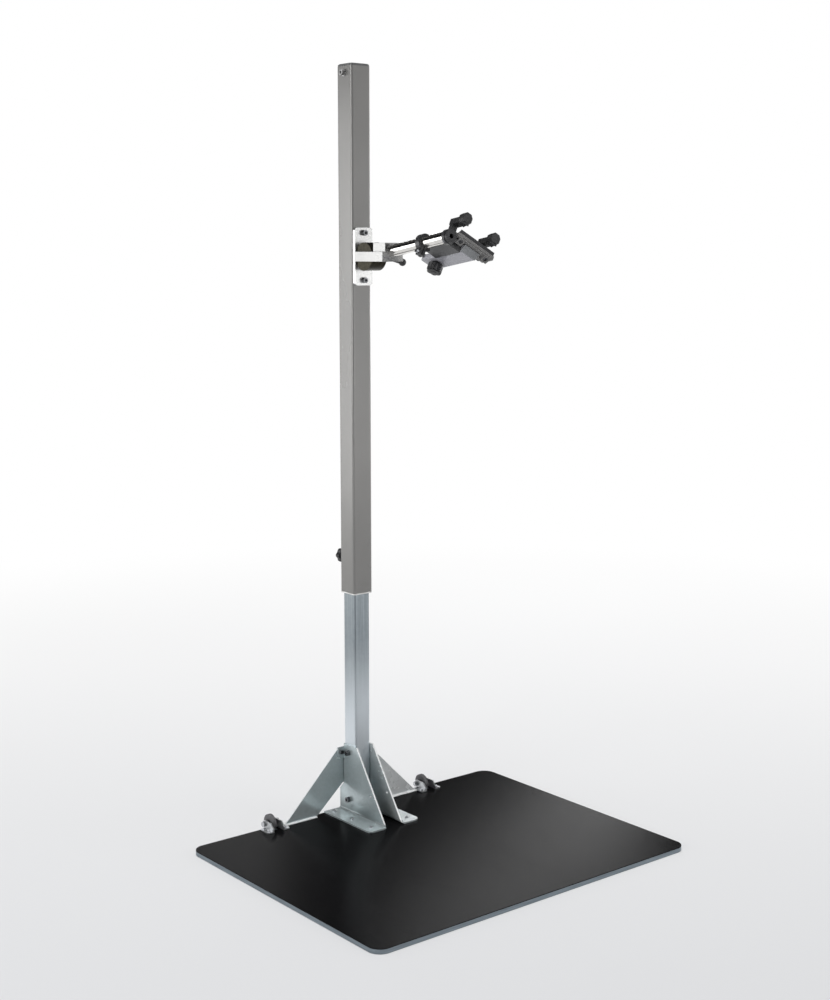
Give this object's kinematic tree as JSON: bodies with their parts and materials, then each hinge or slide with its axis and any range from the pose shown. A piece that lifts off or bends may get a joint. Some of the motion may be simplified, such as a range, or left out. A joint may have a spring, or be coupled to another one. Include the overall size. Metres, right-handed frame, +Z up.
{
  "type": "bicycle lift",
  "caption": "Free-standing bicycle lift: a telescoping square column on a heavy black plate, with a tilting arm and a screw clamp that holds a frame tube.",
  "frame": {"origin": "centre of the base plate's underside, on the floor", "axes": "+Z up along the column, +Y to the rear where the column and wheels are, +X to the right seen from the front"},
  "size_m": [0.9, 0.7255, 1.7845],
  "materials": {
    "steel_plate": "satin edge, bluish grey",
    "black_covering": "satin black sheet",
    "zinc": "bright zinc plate, faint spangle",
    "grey_paint": "satin warm grey",
    "light_grey_paint": "satin light grey",
    "cast_grey": "satin dark grey",
    "chrome": "polished",
    "bright_steel": "ground",
    "dark_steel": "blackened screw",
    "brass": "turned",
    "black_plastic": "moulded, fine grain",
    "light_plastic": "moulded",
    "brake_lining": "pressed fibre",
    "rubber": "moulded rubber",
    "wheel_rubber": "solid grey rubber"
  },
  "bodies": {
    "base": {"base_plate": "steel_plate", "plate_covering": "black_covering", "inner_column": "zinc", "left_gusset": "zinc", "right_gusset": "zinc", "left_brace": "zinc", "right_brace": "zinc", "gusset_bolts": "dark_steel", "lower_anchor_bolt": "dark_steel", "flange_screws": "bright_steel", "brace_bolts": "dark_steel", "brace_screws": "bright_steel", "upper_guide": "black_plastic", "spring_support_tube": "bright_steel", "gas_spring_rod": "chrome", "left_outer_cheek": "zinc", "left_inner_cheek": "zinc", "right_inner_cheek": "zinc", "right_outer_cheek": "zinc", "left_axle": "bright_steel", "right_axle": "bright_steel", "cheek_screws": "bright_steel"},
    "left_wheel": {"left_tyre": "wheel_rubber", "left_hub": "black_plastic"},
    "right_wheel": {"right_tyre": "wheel_rubber", "right_hub": "black_plastic"},
    "carriage": {"outer_column": "grey_paint", "top_cap": "grey_paint", "lower_guide": "light_plastic", "upper_anchor_bolt": "dark_steel", "gas_spring_cylinder": "cast_grey", "spring_gland": "bright_steel", "spring_eye": "bright_steel", "lock_boss": "grey_paint", "arm_mount_plate": "zinc", "mount_bolts": "dark_steel", "tilt_barrel": "dark_steel"},
    "height_lock": {"lock_screw": "bright_steel", "lock_pad": "brake_lining", "lock_knob": "black_plastic"},
    "arm": {"arm_fork": "zinc", "arm_tube": "chrome", "arm_end_ring": "black_plastic", "tilt_pin": "zinc"},
    "tilt_lock": {"tilt_lever": "black_plastic"},
    "clamp_head": {"head_sleeve": "cast_grey", "sleeve_screws": "chrome", "clamp_body": "light_grey_paint", "body_caps": "grey_paint", "lower_jaw": "grey_paint", "lug_screws": "dark_steel", "lower_pad": "rubber"},
    "upper_jaw": {"jaw_yoke": "cast_grey", "left_finger": "black_plastic", "right_finger": "black_plastic", "finger_pads": "rubber", "jaw_nut": "brass"},
    "clamp_screw": {"clamp_spindle": "bright_steel", "clamp_knob": "black_plastic"}
  },
  "joints": [
    {"name": "column_lift", "type": "slide", "parent": "base", "child": "carriage", "axis": [0, 0, 1], "range_m": [-0.37, 0.3]},
    {"name": "height_lock_turn", "type": "hinge", "parent": "carriage", "child": "height_lock", "pos_m": [0, 0.3405, 0.6395], "axis": [0, 1, 0], "range_deg": [0, 360]},
    {"name": "arm_tilt", "type": "hinge", "parent": "carriage", "child": "arm", "pos_m": [0, 0.25, 1.3515], "axis": [1, 0, 0], "range_deg": [-35, 60]},
    {"name": "tilt_lock_turn", "type": "hinge", "parent": "arm", "child": "tilt_lock", "pos_m": [0, 0.25, 1.3515], "axis": [1, 0, 0], "range_deg": [0, 120]},
    {"name": "head_turn", "type": "hinge", "parent": "arm", "child": "clamp_head", "pos_m": [0, -0.03115, 1.39502], "axis": [0, -0.9882, 0.153], "range_deg": [-180, 180]},
    {"name": "jaw_slide", "type": "slide", "parent": "clamp_head", "child": "upper_jaw", "axis": [0.5, 0.1325, 0.8558], "range_m": [-0.006, 0.03]},
    {"name": "clamp_screw_turn", "type": "hinge", "parent": "clamp_head", "child": "clamp_screw", "pos_m": [0.05976, 0.08414, 1.34227], "axis": [0.5, 0.1325, 0.8558], "range_deg": [-901, 181]},
    {"name": "left_wheel_spin", "type": "hinge", "parent": "base", "child": "left_wheel", "pos_m": [-0.232, 0.35, 0.0225], "axis": [1, 0, 0], "continuous": true},
    {"name": "right_wheel_spin", "type": "hinge", "parent": "base", "child": "right_wheel", "pos_m": [0.232, 0.35, 0.0225], "axis": [1, 0, 0], "continuous": true}
  ],
  "couplings": [
    {"joint": "clamp_screw_turn", "follows": "jaw_slide", "rad_per_m": -523.6}
  ]
}
